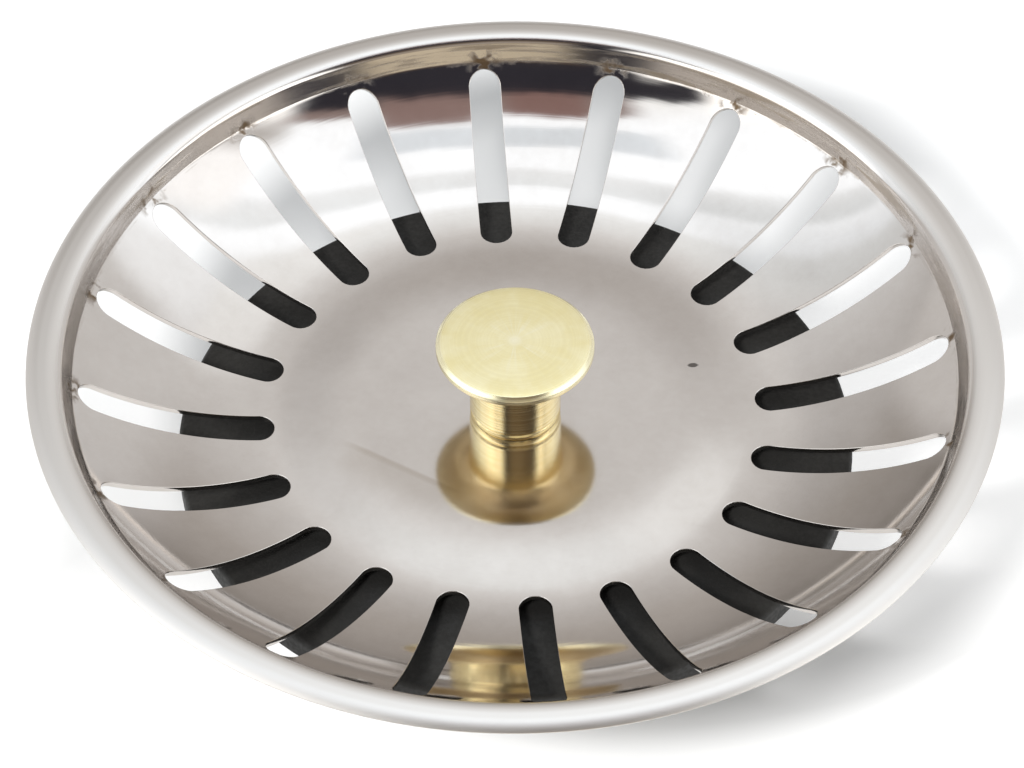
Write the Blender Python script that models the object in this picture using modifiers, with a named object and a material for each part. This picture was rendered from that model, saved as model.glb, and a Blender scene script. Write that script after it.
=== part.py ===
# Kitchen sink plug of the basket strainer kind: a slotted steel basket with a brass knob, a rubber
# seal clamped below it, and a brass post whose two sprung balls catch in the waste's cross bar.
# Metres, +Z up. The plug stands on the tip of its post, which is the origin, and the Z axis is the
# axis that every turned piece shares.

import math

import bmesh
import bpy
from mathutils import Matrix

# Gap kept between pieces that touch, and around the stud
seat_gap = 0.0003

# Basket: one pressed sheet. Radii and heights are those of its upper side, from the rim inwards.
rim_diameter = 0.0800
sheet_thickness = 0.0005
rim_band_width = 0.0027
rim_arch = 0.00018
rim_curl_gap = 0.00015
rim_return_share = 0.45
step_width = 0.0010
step_height = 0.0017
wall_rise = 0.0059
floor_width = 0.0020
hub_slope_width = 0.0040
hub_rise = 0.0005
hub_diameter = 0.0270

# Slots through the basket's floor and wall
slot_count = 20
slot_width = 0.0027
slot_floor_margin = 0.0007
slot_mouth_margin = 0.0005
first_slot_angle = math.radians(94.2)

# Knob
knob_height = 0.0077
knob_stem_wall = 0.00095
knob_head_overhang = 0.00275
knob_edge_height = 0.0004
knob_edge_chamfer = 0.0003
knob_dome = 0.00012
knob_fillet_height = 0.0026
knob_foot_chamfer = 0.00025
knob_cap_thickness = 0.0032

# Stud through the stack
stud_diameter = 0.0050
stud_chamfer = 0.0005

# Washer in the recess under the hub
washer_proud = 0.0005
washer_margin = 0.0015

# Rubber seal
seal_diameter = 0.0562
seal_lip_width = 0.0050
seal_lip_fall = 0.0015
seal_lip_proud = 0.0007
seal_web_width = 0.0101
seal_web_thickness = 0.0017
seal_hub_proud = 0.0017
seal_slope_share = 0.18
seal_round_share = 0.2

# Plate under the seal
plate_thickness = 0.0010
plate_margin = 0.0015
plate_round_share = 0.3

# Split washer and nut
lock_washer_thickness = 0.0012
lock_washer_wall = 0.0018
lock_washer_split = 0.0007
lock_washer_split_tilt = math.radians(25)
nut_height = 0.0040
nut_wall = 0.0012
nut_chamfer = 0.0005

# Post with its spanner flats
post_length = 0.0115
post_wall = 0.0022
post_tip_chamfer = 0.0008
post_top_chamfer = 0.0003
post_tip_wall = 0.00213
post_middle_wall = 0.00163
post_flat_depth = 0.0010
post_flat_length = 0.0032

# Balls and their spring, across the post
ball_diameter = 0.0035
ball_proud = 0.0009
ball_clearance = 0.00012
mouth_nip = 0.00012
spring_wire = 0.00035
spring_side_gap = 0.00082
spring_end_gap = 0.0001
spring_pitch = 0.00088

# Fineness of the meshes
basket_segments = 60
turned_segments = 48
small_segments = 32
wall_steps = 7
arch_steps = 3
nose_steps = 7
fillet_steps = 6
slot_end_steps = 6
round_steps = 3
ball_segments = 24
ball_rings = 14
points_per_turn = 10
sharp_angle = math.radians(30)
merge_distance = 0.000001
cut_overrun = 0.0010

# Sizes that follow from the ones above
rim_radius = rim_diameter / 2
rim_inner_radius = rim_radius - rim_band_width
mouth_radius = rim_inner_radius - step_width
hub_radius = hub_diameter / 2
slope_radius = hub_radius + hub_slope_width
floor_radius = slope_radius + floor_width
bore_radius = stud_diameter / 2 + seat_gap
knob_bore_depth = knob_height - knob_cap_thickness
washer_thickness = hub_rise + washer_proud
seal_radius = seal_diameter / 2
seal_lip_radius = seal_radius - seal_lip_width
seal_hub_radius = seal_lip_radius - seal_web_width
seal_hub_thickness = seal_web_thickness + seal_hub_proud
post_radius = bore_radius + post_wall
ball_radius = ball_diameter / 2
ball_bore_radius = ball_radius + ball_clearance
ball_place = post_radius + ball_proud - ball_radius
ball_axis_height = post_tip_wall + ball_bore_radius
post_bore_floor = ball_axis_height + ball_bore_radius + post_middle_wall

# Heights of the stack, from the tip of the post up
nut_base = post_length + seat_gap
lock_washer_base = nut_base + nut_height + seat_gap
plate_base = lock_washer_base + lock_washer_thickness + seat_gap
seal_base = plate_base + plate_thickness + seat_gap
washer_base = seal_base + seal_hub_thickness + seat_gap
hub_top = washer_base + washer_thickness + seat_gap + sheet_thickness
floor_top = hub_top - hub_rise
knob_base = hub_top + seat_gap


def clear_scene():
    for thing in list(bpy.data.objects):
        bpy.data.objects.remove(thing, do_unlink=True)


def new_collection(name):
    collection = bpy.data.collections.new(name)
    bpy.context.scene.collection.children.link(collection)
    return collection


def add_object(name, data, collection):
    thing = bpy.data.objects.new(name, data)
    collection.objects.link(thing)
    return thing


def add_cutter(name, mesh):
    tool = add_object(name, mesh, cutters)
    tool.hide_render = True
    tool.display_type = "WIRE"
    return tool


def paint(piece, colour, roughness, metallic):
    # one Principled material of its own for each piece
    material = bpy.data.materials.new(piece.name + "_finish")
    material.use_nodes = True
    shader = material.node_tree.nodes["Principled BSDF"]
    shader.inputs["Base Color"].default_value = (*colour, 1)
    shader.inputs["Roughness"].default_value = roughness
    shader.inputs["Metallic"].default_value = metallic
    piece.data.materials.clear()
    piece.data.materials.append(material)


def baked_mesh(thing):
    # the mesh that an object shows with its modifiers, smooth except at its sharp edges
    bpy.context.view_layer.update()
    seen = thing.evaluated_get(bpy.context.evaluated_depsgraph_get())
    mesh = bpy.data.meshes.new_from_object(seen)
    mesh.shade_smooth()
    mesh.set_sharp_from_angle(angle=sharp_angle)
    return mesh


def turned_mesh(name, outline, closed, segments, thickness=0):
    # outline: (radius, height) points that run down the outer side, turned about Z
    line = bpy.data.meshes.new(name)
    edges = [(i, i + 1) for i in range(len(outline) - 1)]
    if closed:
        edges.append((len(outline) - 1, 0))
    line.from_pydata([(radius, 0, height) for radius, height in outline], edges, [])
    blank = add_object(name + "_blank", line, cutters)
    turn = blank.modifiers.new("Turn", "SCREW")
    turn.axis = "Z"
    turn.steps = segments
    turn.render_steps = segments
    turn.use_merge_vertices = True
    turn.merge_threshold = merge_distance
    if thickness:
        wall = blank.modifiers.new("Wall", "SOLIDIFY")
        wall.thickness = thickness
        wall.offset = -1
        wall.use_even_offset = True
    mesh = baked_mesh(blank)
    mesh.name = name
    bpy.data.objects.remove(blank, do_unlink=True)
    return mesh


def turned(name, outline, closed=True, segments=turned_segments, thickness=0):
    return add_object(name, turned_mesh(name, outline, closed, segments, thickness), parts)


def cut(piece, tool, operation="DIFFERENCE"):
    change = piece.modifiers.new(tool.name, "BOOLEAN")
    change.operation = operation
    change.solver = "EXACT"
    change.object = tool


def arc(centre_radius, centre_height, radius, start, end, steps):
    # points on a circle in the (radius, height) plane, angles counted from outwards to up
    points = []
    for i in range(steps + 1):
        angle = start + (end - start) * i / steps
        points.append((centre_radius + radius * math.cos(angle), centre_height + radius * math.sin(angle)))
    return points


def cylinder_mesh(name, radius, low, high, segments):
    mesh = bpy.data.meshes.new(name)
    shape = bmesh.new()
    place = Matrix.Translation((0, 0, (low + high) / 2))
    bmesh.ops.create_cone(
        shape, cap_ends=True, segments=segments, radius1=radius, radius2=radius, depth=high - low, matrix=place
    )
    shape.to_mesh(mesh)
    shape.free()
    return mesh


def box_mesh(name, boxes):
    # boxes: (centre, size, tilt about X) each
    mesh = bpy.data.meshes.new(name)
    shape = bmesh.new()
    for centre, size, tilt in boxes:
        place = Matrix.Translation(centre) @ Matrix.Rotation(tilt, 4, "X") @ Matrix.Diagonal((*size, 1))
        bmesh.ops.create_cube(shape, size=1, matrix=place)
    shape.to_mesh(mesh)
    shape.free()
    return mesh


def wall_outline():
    # one arc, level where it leaves the floor, that reaches the mouth at the wall's full rise
    run = mouth_radius - floor_radius
    radius = (run * run + wall_rise * wall_rise) / (wall_rise + wall_rise)
    sweep = math.asin(run / radius)
    down = -math.pi / 2
    return arc(floor_radius, radius, radius, down, down + sweep, wall_steps)


def rim_outline():
    # shallow arch from the step's top edge, then the curl that ends below it, pointing inwards
    top = wall_rise + step_height
    nose_radius = sheet_thickness + rim_curl_gap
    nose_centre = rim_radius - nose_radius
    arch_run = nose_centre - rim_inner_radius
    points = []
    for i in range(arch_steps):
        share = i / arch_steps
        points.append((rim_inner_radius + arch_run * share, top + rim_arch * math.sin(math.pi * share)))
    nose = arc(nose_centre, top - nose_radius, nose_radius, math.pi / 2, -math.pi / 2, nose_steps)
    end = (nose_centre - arch_run * rim_return_share, top - nose_radius - nose_radius)
    return points + nose + [end]


def slot_mesh():
    # one slot's prism along +X: a flat outline with two round ends
    radius = slot_width / 2
    inner = floor_radius + slot_floor_margin + radius
    outer = mouth_radius - slot_mouth_margin - radius
    quarter = math.pi / 2
    outline = arc(outer, 0, radius, -quarter, quarter, slot_end_steps)
    outline += arc(inner, 0, radius, quarter, quarter + math.pi, slot_end_steps)
    curve = bpy.data.curves.new("slot_outline", "CURVE")
    curve.dimensions = "2D"
    curve.fill_mode = "BOTH"
    curve.extrude = wall_rise + cut_overrun
    line = curve.splines.new("POLY")
    line.points.add(len(outline) - 1)
    for point, (x, y) in zip(line.points, outline):
        point.co = (x, y, 0, 1)
    line.use_cyclic_u = True
    guide = add_object("slot_outline", curve, cutters)
    mesh = baked_mesh(guide)
    bpy.data.objects.remove(guide, do_unlink=True)
    return mesh


def slots_cutter():
    one = slot_mesh()
    shape = bmesh.new()
    for i in range(slot_count):
        before = set(shape.verts)
        shape.from_mesh(one)
        fresh = [vertex for vertex in shape.verts if vertex not in before]
        angle = first_slot_angle - 2 * math.pi * i / slot_count
        bmesh.ops.rotate(shape, verts=fresh, cent=(0, 0, 0), matrix=Matrix.Rotation(angle, 3, "Z"))
    bmesh.ops.remove_doubles(shape, verts=shape.verts, dist=merge_distance)
    mesh = bpy.data.meshes.new("slots")
    shape.to_mesh(mesh)
    shape.free()
    return add_cutter("slots", mesh)


def make_basket():
    outline = [(bore_radius, hub_rise), (hub_radius, hub_rise), (slope_radius, 0)]
    outline += wall_outline()
    outline += rim_outline()
    basket = turned("strainer_basket", outline, False, basket_segments, sheet_thickness)
    basket.location.z = floor_top
    slots = slots_cutter()
    slots.location.z = floor_top
    cut(basket, slots)
    paint(basket, (0.56, 0.53, 0.51), 0.18, 1)


def make_knob():
    stem = bore_radius + knob_stem_wall
    head = stem + knob_head_overhang
    edge_top = knob_height - knob_dome
    edge_low = edge_top - knob_edge_chamfer - knob_edge_height
    outline = [(0, knob_height), (head - knob_edge_chamfer, edge_top), (head, edge_top - knob_edge_chamfer)]
    # a quarter of an ellipse sweeps from the head's edge down into the stem
    for i in range(fillet_steps + 1):
        angle = math.pi / 2 * i / fillet_steps
        radius = head - (head - stem) * math.sin(angle)
        outline.append((radius, edge_low - knob_fillet_height * (1 - math.cos(angle))))
    outline += [(stem, knob_foot_chamfer), (stem - knob_foot_chamfer, 0)]
    outline += [(bore_radius, 0), (bore_radius, knob_bore_depth), (0, knob_bore_depth)]
    knob = turned("knob", outline, False)
    knob.location.z = knob_base
    paint(knob, (0.80, 0.66, 0.36), 0.24, 1)


def make_stud():
    low = post_bore_floor + seat_gap
    high = knob_base + knob_bore_depth - seat_gap
    radius = stud_diameter / 2
    outline = [(0, high), (radius - stud_chamfer, high), (radius, high - stud_chamfer)]
    outline += [(radius, low + stud_chamfer), (radius - stud_chamfer, low), (0, low)]
    stud = turned("threaded_stud", outline, False, small_segments)
    paint(stud, (0.55, 0.55, 0.54), 0.35, 1)


def make_upper_washer():
    radius = hub_radius - washer_margin
    outline = [(bore_radius, washer_thickness), (radius, washer_thickness), (radius, 0), (bore_radius, 0)]
    washer = turned("upper_clamp_washer", outline)
    washer.location.z = washer_base
    paint(washer, (0.58, 0.57, 0.55), 0.30, 1)


def make_seal():
    # the hub is clamped, and the web falls to a thick lip whose flat underside seals the waste
    lip_top = seal_hub_thickness - seal_lip_fall
    web_low = lip_top - seal_web_thickness
    lip_low = web_low - seal_lip_proud
    slope = seal_web_width * seal_slope_share
    round_radius = (lip_top - lip_low) * seal_round_share
    centre = seal_radius - round_radius
    outline = [(bore_radius, seal_hub_thickness), (seal_hub_radius, seal_hub_thickness)]
    outline += arc(centre, lip_top - round_radius, round_radius, math.pi / 2, 0, round_steps)
    outline += arc(centre, lip_low + round_radius, round_radius, 0, -math.pi / 2, round_steps)
    outline += [(seal_lip_radius, lip_low), (seal_lip_radius - slope, web_low)]
    outline += [(seal_hub_radius + slope, seal_hub_proud), (seal_hub_radius, 0), (bore_radius, 0)]
    seal = turned("seal_disc", outline)
    seal.location.z = seal_base
    paint(seal, (0.02, 0.02, 0.02), 0.55, 0)


def make_plate():
    round_radius = plate_thickness * plate_round_share
    centre = seal_hub_radius + plate_margin - round_radius
    outline = [(bore_radius, plate_thickness)]
    outline += arc(centre, plate_thickness - round_radius, round_radius, math.pi / 2, 0, round_steps)
    outline += arc(centre, round_radius, round_radius, 0, -math.pi / 2, round_steps)
    outline += [(bore_radius, 0)]
    plate = turned("lower_clamp_plate", outline)
    plate.location.z = plate_base
    paint(plate, (0.58, 0.57, 0.55), 0.30, 1)


def make_lock_washer():
    outer = bore_radius + lock_washer_wall
    thickness = lock_washer_thickness
    outline = [(bore_radius, thickness), (outer, thickness), (outer, 0), (bore_radius, 0)]
    washer = turned("lock_washer", outline, segments=small_segments)
    washer.location.z = lock_washer_base
    centre = (bore_radius + lock_washer_wall / 2, 0, thickness / 2)
    size = (lock_washer_wall + cut_overrun, lock_washer_split, thickness + thickness + cut_overrun)
    split = add_cutter("split", box_mesh("split", [(centre, size, lock_washer_split_tilt)]))
    split.location.z = lock_washer_base
    cut(washer, split)
    paint(washer, (0.45, 0.45, 0.44), 0.40, 1)


def make_nut():
    corner = (bore_radius + nut_wall) / math.cos(math.pi / 6)
    nut = add_object("clamp_nut", cylinder_mesh("clamp_nut", corner, 0, nut_height, 6), parts)
    nut.location.z = nut_base
    slim = corner - nut_chamfer
    middle = nut_height / 2
    reach = corner + cut_overrun
    fall = (reach - slim) / math.sqrt(3)
    outline = [(0, nut_height), (slim, nut_height), (reach, nut_height - fall), (reach, middle)]
    outline += [(reach, fall), (slim, 0), (0, 0)]
    form = add_cutter("nut_form", turned_mesh("nut_form", outline, False, turned_segments))
    bore = add_cutter(
        "nut_bore", cylinder_mesh("nut_bore", bore_radius, -cut_overrun, nut_height + cut_overrun, small_segments)
    )
    for tool in (form, bore):
        tool.location.z = nut_base
    cut(nut, form, "INTERSECT")
    cut(nut, bore)
    paint(nut, (0.50, 0.50, 0.48), 0.35, 1)


def ball_bore_cutter():
    # a bore for the balls right across the post, nipped in at both mouths to keep them in
    mouth = ball_radius - mouth_nip
    end = post_radius + cut_overrun
    outline = [(0, end), (mouth, end), (mouth, post_radius), (ball_bore_radius, ball_place)]
    outline += [(ball_bore_radius, -ball_place), (mouth, -post_radius), (mouth, -end), (0, -end)]
    tool = add_cutter("ball_bore", turned_mesh("ball_bore", outline, False, small_segments))
    tool.rotation_euler.y = math.pi / 2
    tool.location.z = ball_axis_height
    return tool


def flats_cutter():
    depth = post_flat_depth + cut_overrun
    across = post_radius - post_flat_depth + depth / 2
    length = post_flat_length + cut_overrun
    height = post_length - post_flat_length + length / 2
    size = (post_radius + post_radius + cut_overrun, depth, length)
    boxes = [((0, side * across, height), size, 0) for side in (-1, 1)]
    return add_cutter("spanner_flats", box_mesh("spanner_flats", boxes))


def make_post():
    outline = [(0, post_bore_floor), (bore_radius, post_bore_floor), (bore_radius, post_length)]
    outline += [(post_radius - post_top_chamfer, post_length), (post_radius, post_length - post_top_chamfer)]
    outline += [(post_radius, post_tip_chamfer), (post_radius - post_tip_chamfer, 0), (0, 0)]
    post = turned("catch_post", outline, False)
    cut(post, ball_bore_cutter())
    cut(post, flats_cutter())
    paint(post, (0.78, 0.62, 0.32), 0.28, 1)


def make_ball(name, side):
    # its origin is its centre, which slides on the line across the post
    mesh = bpy.data.meshes.new(name)
    shape = bmesh.new()
    turn = Matrix.Rotation(math.pi / 2, 4, "Y")
    bmesh.ops.create_uvsphere(
        shape, u_segments=ball_segments, v_segments=ball_rings, radius=ball_radius, matrix=turn
    )
    shape.to_mesh(mesh)
    shape.free()
    mesh.shade_smooth()
    ball = add_object(name, mesh, parts)
    ball.location = (side * ball_place, 0, ball_axis_height)
    paint(ball, (0.62, 0.62, 0.61), 0.12, 1)


def make_spring():
    # its end turns bear on the balls where a ball has the spring's radius
    radius = ball_bore_radius - spring_side_gap - spring_wire / 2
    bearing = ball_radius + spring_wire / 2 + spring_end_gap
    half = ball_place - math.sqrt(bearing * bearing - radius * radius)
    turns = 2 * half / spring_pitch
    count = math.ceil(turns * points_per_turn) + 1
    curve = bpy.data.curves.new("catch_spring", "CURVE")
    curve.dimensions = "3D"
    curve.bevel_depth = spring_wire / 2
    curve.bevel_resolution = 1
    curve.use_fill_caps = True
    wire = curve.splines.new("POLY")
    wire.points.add(count - 1)
    for i, point in enumerate(wire.points):
        share = i / (count - 1)
        angle = 2 * math.pi * turns * share
        x = half * (2 * share - 1)
        point.co = (x, radius * math.cos(angle), radius * math.sin(angle), 1)
    spring = add_object("catch_spring", curve, parts)
    spring.location.z = ball_axis_height
    paint(spring, (0.50, 0.50, 0.50), 0.30, 1)


clear_scene()
parts = new_collection("sink_plug")
cutters = new_collection("cutters")
make_basket()
make_knob()
make_stud()
make_upper_washer()
make_seal()
make_plate()
make_lock_washer()
make_nut()
make_post()
make_ball("catch_ball_right", 1)
make_ball("catch_ball_left", -1)
make_spring()
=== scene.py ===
import math

import bpy
from mathutils import Matrix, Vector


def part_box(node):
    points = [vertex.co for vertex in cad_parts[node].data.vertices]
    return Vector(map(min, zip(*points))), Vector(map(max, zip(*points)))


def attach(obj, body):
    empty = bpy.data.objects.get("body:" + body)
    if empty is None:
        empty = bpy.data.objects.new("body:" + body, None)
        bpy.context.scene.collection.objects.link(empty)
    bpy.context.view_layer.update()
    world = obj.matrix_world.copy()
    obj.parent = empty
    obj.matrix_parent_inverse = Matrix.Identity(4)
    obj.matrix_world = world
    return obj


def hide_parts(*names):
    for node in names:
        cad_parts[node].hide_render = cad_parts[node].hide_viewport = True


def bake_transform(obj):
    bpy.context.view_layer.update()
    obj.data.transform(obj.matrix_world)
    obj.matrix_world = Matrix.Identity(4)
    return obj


# Sink plug with a slotted steel basket, a turned brass knob, a rubber seal and a sprung ball catch.
# Lengths are in metres, and the origin is the tip of the post that the plug stands on.

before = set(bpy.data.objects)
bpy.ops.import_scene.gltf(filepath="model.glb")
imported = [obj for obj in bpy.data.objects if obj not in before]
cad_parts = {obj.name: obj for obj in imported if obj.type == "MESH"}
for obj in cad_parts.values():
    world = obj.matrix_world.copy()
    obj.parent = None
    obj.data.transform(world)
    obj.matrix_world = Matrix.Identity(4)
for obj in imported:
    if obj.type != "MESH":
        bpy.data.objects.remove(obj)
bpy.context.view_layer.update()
bodyName = "plug"
mm = 0.001
micron = 0.000001
tiny = 0.000001  # radius of a ring that is merged into a pole
mergeGap = 0.000004
boreRadius = 2.8 * mm  # of every piece round the stud


# Small helpers for modelling

def pickOnly(*pieces):
    bpy.ops.object.select_all(action="DESELECT")
    for piece in pieces:
        piece.select_set(True)
    bpy.context.view_layer.objects.active = pieces[0]


def copyOf(piece):
    pickOnly(piece)
    bpy.ops.object.duplicate(linked=False)
    return bpy.context.object


def nameAs(piece, name):
    piece.name = name
    piece.data.name = name


def startEditing(piece, kind="VERT"):
    pickOnly(piece)
    bpy.ops.object.mode_set(mode="EDIT")
    bpy.ops.mesh.select_mode(type=kind)
    bpy.ops.mesh.select_all(action="SELECT")


def stopEditing():
    bpy.ops.object.mode_set(mode="OBJECT")


def faceOutwards():
    bpy.ops.mesh.select_all(action="SELECT")
    bpy.ops.mesh.normals_make_consistent(inside=False)
    stopEditing()


def bakePlace(piece):
    pickOnly(piece)
    bpy.ops.object.transform_apply(location=True, rotation=True, scale=True)


def pickPart(piece, kind, wanted):
    # selects the vertices or edges whose middle passes the test, and leaves the piece in edit mode
    startEditing(piece, kind)
    bpy.ops.mesh.select_all(action="DESELECT")
    stopEditing()
    mesh = piece.data
    for part in (mesh.vertices if kind == "VERT" else mesh.edges):
        if kind == "VERT":
            middle = part.co
        else:
            middle = (mesh.vertices[part.vertices[0]].co + mesh.vertices[part.vertices[1]].co) / 2
        part.select = wanted(middle)
    bpy.ops.object.mode_set(mode="EDIT")


def rounded(corners, steps=5):
    # (radius, height, rounding) corners of a profile, with an arc drawn in at each rounded one
    points = []
    for i, (radius, height, rounding) in enumerate(corners):
        if rounding == 0 or i in (0, len(corners) - 1):
            points.append((radius, height))
            continue
        before, after = corners[i - 1], corners[i + 1]
        inward = (before[0] - radius, before[1] - height)
        onward = (after[0] - radius, after[1] - height)
        inLength, onLength = math.hypot(*inward), math.hypot(*onward)
        inward = (inward[0] / inLength, inward[1] / inLength)
        onward = (onward[0] / onLength, onward[1] / onLength)
        cosine = max(-1, min(1, inward[0] * onward[0] + inward[1] * onward[1]))
        half = math.acos(cosine) / 2
        if math.pi / 2 - half < 0.01:
            points.append((radius, height))
            continue
        reach = min(rounding / math.tan(half), 0.49 * inLength, 0.49 * onLength)
        size = reach * math.tan(half)
        middle = (inward[0] + onward[0], inward[1] + onward[1])
        middleLength = math.hypot(*middle)
        away = size / math.sin(half)
        centre = (radius + middle[0] / middleLength * away, height + middle[1] / middleLength * away)
        first = (radius + inward[0] * reach - centre[0], height + inward[1] * reach - centre[1])
        last = (radius + onward[0] * reach - centre[0], height + onward[1] * reach - centre[1])
        start = math.atan2(first[1], first[0])
        sweep = math.atan2(last[1], last[0]) - start
        sweep = (sweep + math.pi) % (2 * math.pi) - math.pi
        for step in range(steps + 1):
            angle = start + sweep * step / steps
            points.append((centre[0] + size * math.cos(angle), centre[1] + size * math.sin(angle)))
    return points


def turnProfile(name, profile, segments):
    # a circle drawn out ring by ring along (radius, height) points, as on a lathe
    bpy.ops.object.select_all(action="DESELECT")
    radius, height = profile[0]
    bpy.ops.mesh.primitive_circle_add(vertices=segments, radius=radius, location=(0, 0, height))
    piece = bpy.context.object
    nameAs(piece, name)
    startEditing(piece)
    for newRadius, newHeight in profile[1:]:
        bpy.ops.mesh.extrude_region_move(TRANSFORM_OT_translate={"value": (0, 0, newHeight - height)})
        share = newRadius / radius
        bpy.ops.transform.resize(value=(share, share, 1), center_override=(0, 0, newHeight))
        radius, height = newRadius, newHeight
    bpy.ops.mesh.select_all(action="SELECT")
    bpy.ops.mesh.remove_doubles(threshold=mergeGap)
    faceOutwards()
    bakePlace(piece)
    return piece


def applyAll(piece):
    pickOnly(piece)
    for change in list(piece.modifiers):
        bpy.ops.object.modifier_apply(modifier=change.name)


def cutWith(piece, tool, operation="DIFFERENCE"):
    change = piece.modifiers.new("Cut", "BOOLEAN")
    change.operation = operation
    change.solver = "EXACT"
    change.object = tool
    applyAll(piece)
    bpy.data.objects.remove(tool, do_unlink=True)


def breakEdges(piece, width, steps=2, angle=40):
    # small rounding of every sharp edge, as tumbling leaves it
    change = piece.modifiers.new("Edges", "BEVEL")
    change.width = width
    change.segments = steps
    change.limit_method = "ANGLE"
    change.angle_limit = math.radians(angle)
    change.face_strength_mode = "FSTR_ALL"
    applyAll(piece)


def smoothFaces(piece, angle=50):
    pickOnly(piece)
    bpy.ops.object.shade_smooth_by_angle(angle=math.radians(angle))
    change = piece.modifiers.new("Normals", "WEIGHTED_NORMAL")
    change.keep_sharp = True
    change.use_face_influence = True
    applyAll(piece)


def faceUp(piece):
    middle = min(piece.data.polygons, key=lambda face: face.center.xy.length)
    if middle.normal.z < 0:
        startEditing(piece)
        bpy.ops.mesh.flip_normals()
        stopEditing()


def borrowNormals(piece, source, wanted):
    # shading of the unpierced surface, so that the openings leave no mark in the reflections
    pickOnly(source)
    bpy.ops.object.shade_smooth()
    group = piece.vertex_groups.new(name="surface")
    group.add([point.index for point in piece.data.vertices if wanted(point.co)], 1, "REPLACE")
    change = piece.modifiers.new("Borrowed", "DATA_TRANSFER")
    change.object = source
    change.use_loop_data = True
    change.data_types_loops = {"CUSTOM_NORMAL"}
    change.loop_mapping = "POLYINTERP_NEAREST"
    change.vertex_group = group.name
    applyAll(piece)
    piece.vertex_groups.clear()
    bpy.data.objects.remove(source, do_unlink=True)


def dress(piece, finish, node, body=bodyName):
    # gives the piece its finish, and puts it on its body, if it has one, in place of the CAD node
    piece.data.materials.clear()
    piece.data.materials.append(finish)
    if body:
        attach(piece, body)
    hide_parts(node)


# Small helpers for materials

def newFinish(name, metallic=0):
    finish = bpy.data.materials.new(name)
    finish.use_nodes = True
    tree = finish.node_tree
    shader = tree.nodes["Principled BSDF"]
    shader.inputs["Metallic"].default_value = metallic
    return finish, tree, shader


def feed(tree, source, socket):
    # a number or colour is set, and an output is linked
    if isinstance(source, bpy.types.NodeSocket):
        tree.links.new(source, socket)
    else:
        socket.default_value = source


def calc(tree, operation, first, second=0.0):
    node = tree.nodes.new("ShaderNodeMath")
    node.operation = operation
    for socket, source in zip(node.inputs, (first, second)):
        feed(tree, source, socket)
    return node.outputs[0]


def plus(tree, first, second):
    return calc(tree, "ADD", first, second)


def minus(tree, first, second):
    return calc(tree, "SUBTRACT", first, second)


def times(tree, first, second):
    return calc(tree, "MULTIPLY", first, second)


def larger(tree, first, second):
    return calc(tree, "MAXIMUM", first, second)


def lengthOf(tree, x, y):
    return calc(tree, "SQRT", plus(tree, times(tree, x, x), times(tree, y, y)))


def band(tree, source, low, high, fromValue=0.0, toValue=1.0):
    # smooth step of a value between two limits
    node = tree.nodes.new("ShaderNodeMapRange")
    node.interpolation_type = "SMOOTHSTEP"
    for key, value in (("Value", source), ("From Min", low), ("From Max", high),
                       ("To Min", fromValue), ("To Max", toValue)):
        feed(tree, value, node.inputs[key])
    return node.outputs["Result"]


def blendColour(tree, share, first, second, mode="MIX"):
    node = tree.nodes.new("ShaderNodeMix")
    node.data_type = "RGBA"
    node.blend_type = mode
    feed(tree, share, node.inputs[0])
    feed(tree, first, node.inputs[6])
    feed(tree, second, node.inputs[7])
    return node.outputs[2]


def ramp(tree, source, stops):
    node = tree.nodes.new("ShaderNodeValToRGB")
    marks = node.color_ramp.elements
    while len(marks) < len(stops):
        marks.new(1.0)
    for mark, (place, colour) in zip(marks, sorted(stops)):
        mark.position = place
        mark.color = (*colour, 1)
    feed(tree, source, node.inputs["Fac"])
    return node.outputs["Color"]


def noise(tree, vector, scale, detail=2.0, roughness=0.5, flat=None):
    # flat: a value for noise along one direction only
    node = tree.nodes.new("ShaderNodeTexNoise")
    if flat is not None:
        node.noise_dimensions = "1D"
        feed(tree, flat, node.inputs["W"])
    else:
        feed(tree, vector, node.inputs["Vector"])
    for key, value in (("Scale", scale), ("Detail", detail), ("Roughness", roughness)):
        node.inputs[key].default_value = value
    return node.outputs["Fac"]


def stretched(tree, sources, scales):
    # a place for noise that is drawn out differently along each axis
    node = tree.nodes.new("ShaderNodeCombineXYZ")
    for socket, source, scale in zip(node.inputs, sources, scales):
        feed(tree, times(tree, source, scale), socket)
    return node.outputs[0]


def placeOf(tree, kind="Object"):
    # place on the piece, or direction in the world: the vector and its three coordinates
    coords = tree.nodes.new("ShaderNodeTexCoord")
    split = tree.nodes.new("ShaderNodeSeparateXYZ")
    feed(tree, coords.outputs[kind], split.inputs[0])
    return coords.outputs[kind], *split.outputs


def bump(tree, shader, height, strength, distance):
    node = tree.nodes.new("ShaderNodeBump")
    node.inputs["Strength"].default_value = strength
    node.inputs["Distance"].default_value = distance
    feed(tree, height, node.inputs["Height"])
    feed(tree, node.outputs["Normal"], shader.inputs["Normal"])


# Basket

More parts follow.
